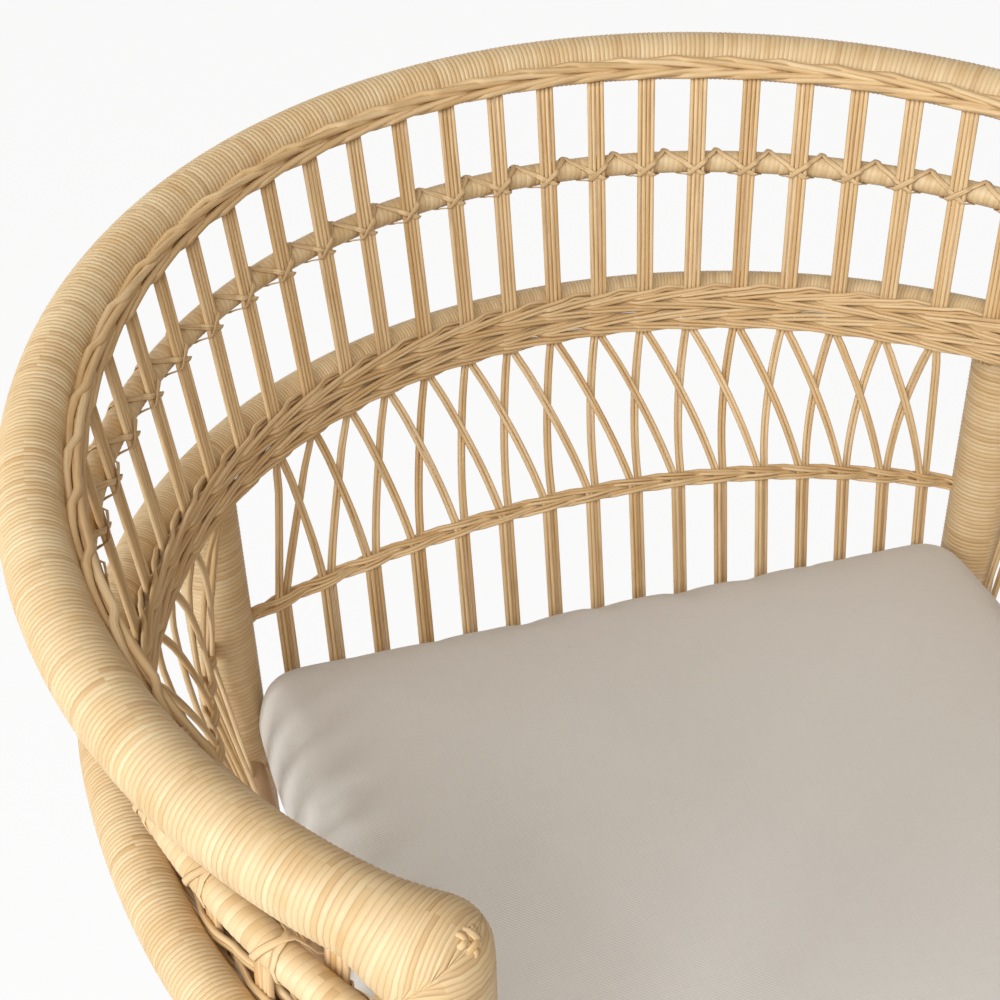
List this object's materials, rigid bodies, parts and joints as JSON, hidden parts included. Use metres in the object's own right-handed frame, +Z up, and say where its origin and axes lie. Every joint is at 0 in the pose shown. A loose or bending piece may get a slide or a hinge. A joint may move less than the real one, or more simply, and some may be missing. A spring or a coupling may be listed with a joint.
{
  "type": "rattan tub chair",
  "caption": "Low-backed rattan tub chair: a bent rim runs from the back into both arms over a wall of cane stakes and lattice, with a loose square seat cushion on a slatted seat frame.",
  "frame": {"origin": "on the floor, under the middle of the chair's bounding box", "axes": "+Z up; the chair faces -Y, with its back towards +Y; +X to the right as seen from in front"},
  "size_m": [0.74, 0.6479, 0.7907],
  "materials": {
    "wrapped_peel": "satin",
    "cane": "satin",
    "seat_wood": "matte",
    "cotton": "matte"
  },
  "bodies": {
    "chair": {"cross_rail": "wrapped_peel", "front_upright_left": "wrapped_peel", "front_upright_right": "wrapped_peel", "lower_twine_back": "cane", "lower_twine_left": "cane", "lower_twine_right": "cane", "mid_band": "cane", "mid_ring": "wrapped_peel", "rear_post_left": "wrapped_peel", "rear_post_right": "wrapped_peel", "rim_twine": "cane", "seat_deck": "seat_wood", "seat_rail_back": "wrapped_peel", "seat_rail_front": "wrapped_peel", "seat_rail_left": "wrapped_peel", "seat_rail_right": "wrapped_peel", "stake_left_01": "cane", "stake_left_02": "cane", "stake_left_03": "cane", "stake_left_04": "cane", "stake_left_05": "cane", "stake_left_06": "cane", "stake_left_07": "cane", "stake_left_08": "cane", "stake_left_09": "cane", "stake_left_10": "cane", "stake_left_11": "cane", "stake_left_12": "cane", "stake_left_13": "cane", "stake_left_14": "cane", "stake_left_15": "cane", "stake_left_16": "cane", "stake_left_17": "cane", "stake_left_18": "cane", "stake_left_19": "cane", "stake_left_20": "cane", "stake_left_21": "cane", "stake_right_01": "cane", "stake_right_02": "cane", "stake_right_03": "cane", "stake_right_04": "cane", "stake_right_05": "cane", "stake_right_06": "cane", "stake_right_07": "cane", "stake_right_08": "cane", "stake_right_09": "cane", "stake_right_10": "cane", "stake_right_11": "cane", "stake_right_12": "cane", "stake_right_13": "cane", "stake_right_14": "cane", "stake_right_15": "cane", "stake_right_16": "cane", "stake_right_17": "cane", "stake_right_18": "cane", "stake_right_19": "cane", "stake_right_20": "cane", "stake_right_21": "cane", "top_rim": "wrapped_peel"},
    "cushion": {"seat_cushion": "cotton"}
  },
  "joints": [
    {"name": "cushion_lift", "type": "slide", "parent": "chair", "child": "cushion", "axis": [0, 0, 1], "range_m": [0, 0.43]}
  ]
}
